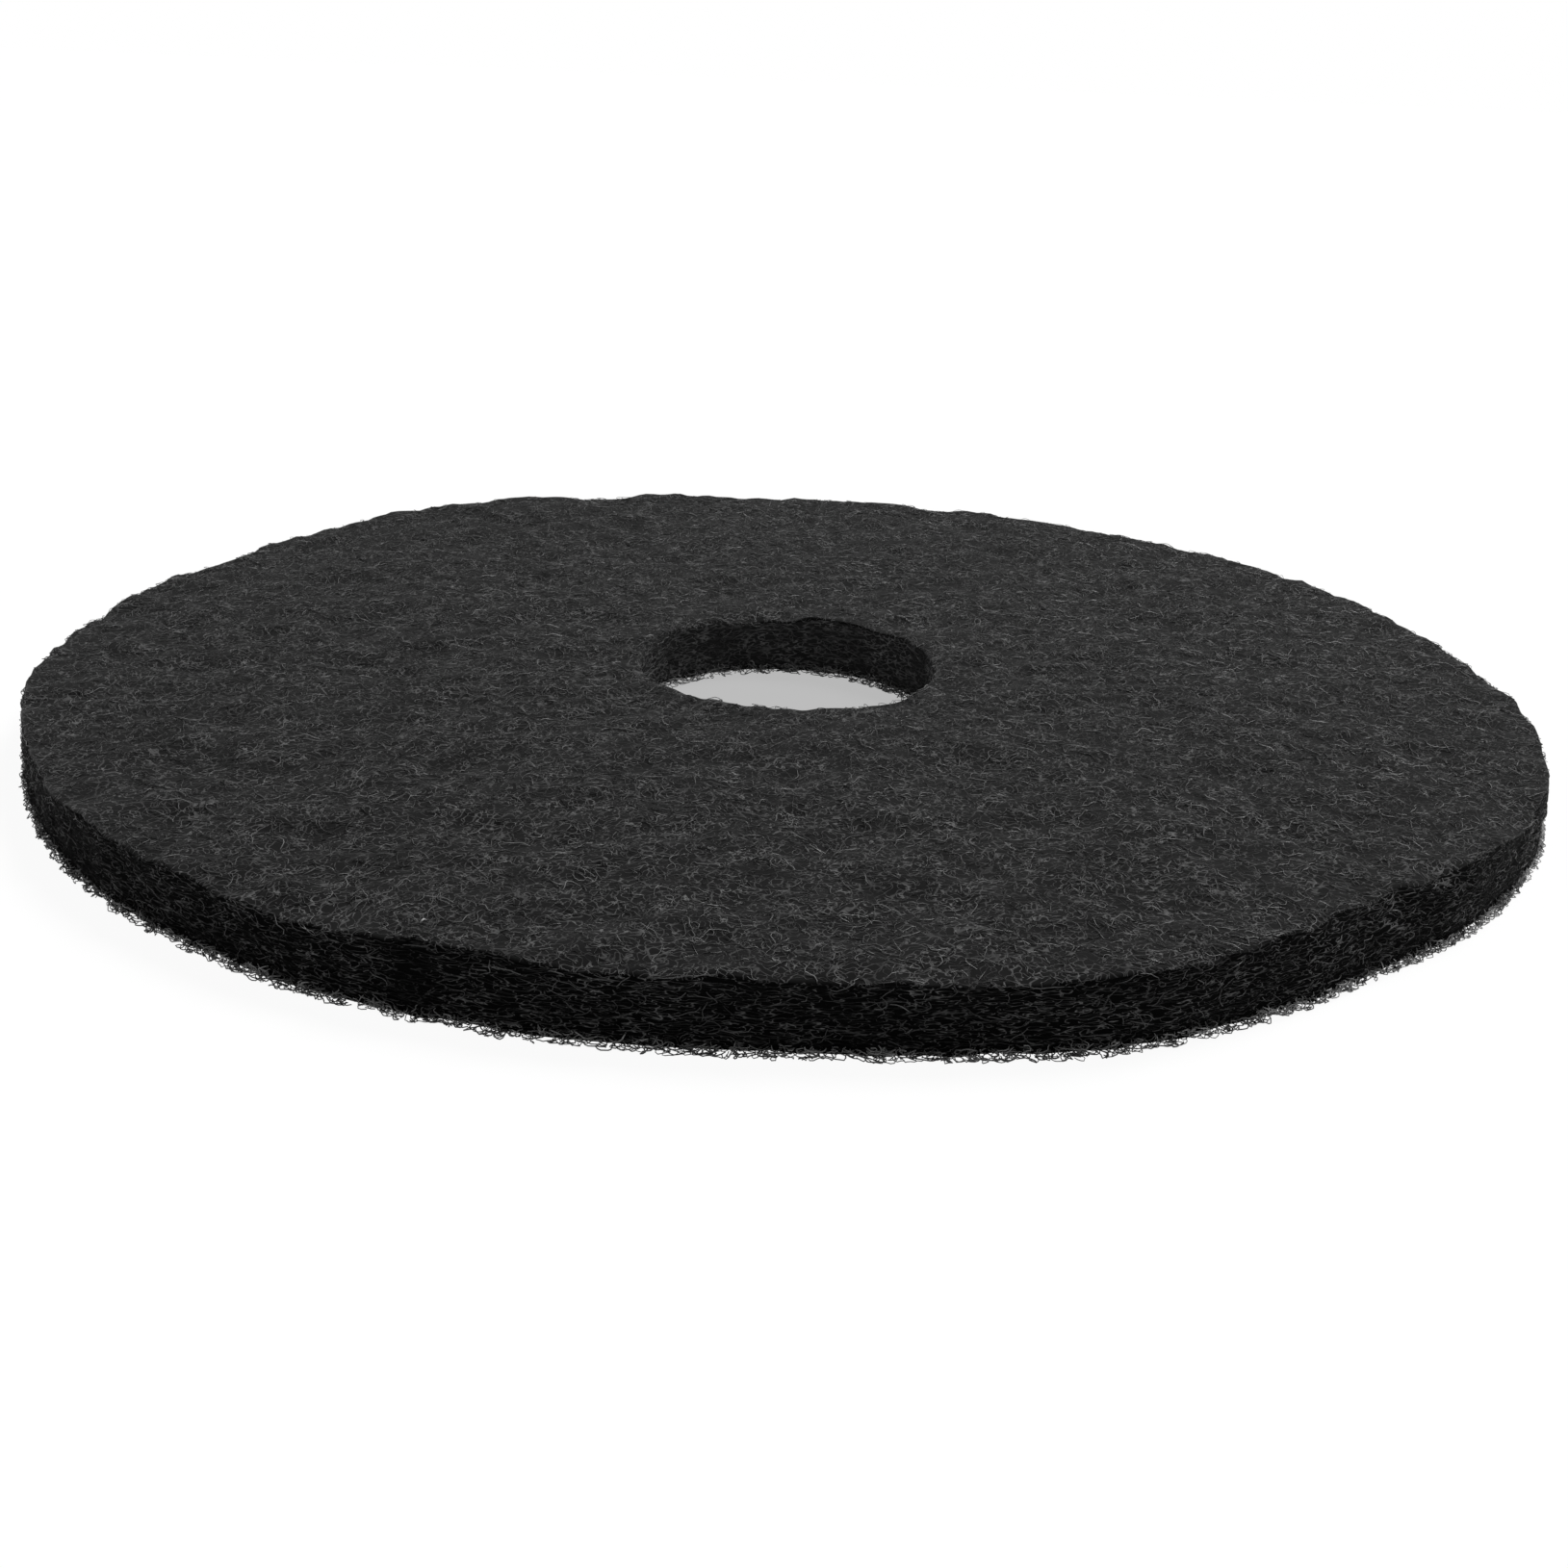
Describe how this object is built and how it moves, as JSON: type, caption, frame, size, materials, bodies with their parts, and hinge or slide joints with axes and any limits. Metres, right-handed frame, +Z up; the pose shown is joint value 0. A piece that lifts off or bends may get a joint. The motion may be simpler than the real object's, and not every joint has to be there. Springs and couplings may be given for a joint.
{
  "type": "floor polishing pad",
  "caption": "Flat round pad of bonded crimped black fibre with a round centre hole, pressed to the floor by a rotary machine.",
  "frame": {"origin": "on the axis of the centre hole, on the plane that the underside lies on", "axes": "+Z up out of the top face, along the axis of the hole; +X to the right and +Y away from the camera of the picture"},
  "size_m": [0.43, 0.4305, 0.0201],
  "materials": {
    "black_fibre": "matte"
  },
  "bodies": {
    "root": {"pad": "black_fibre"}
  },
  "joints": []
}
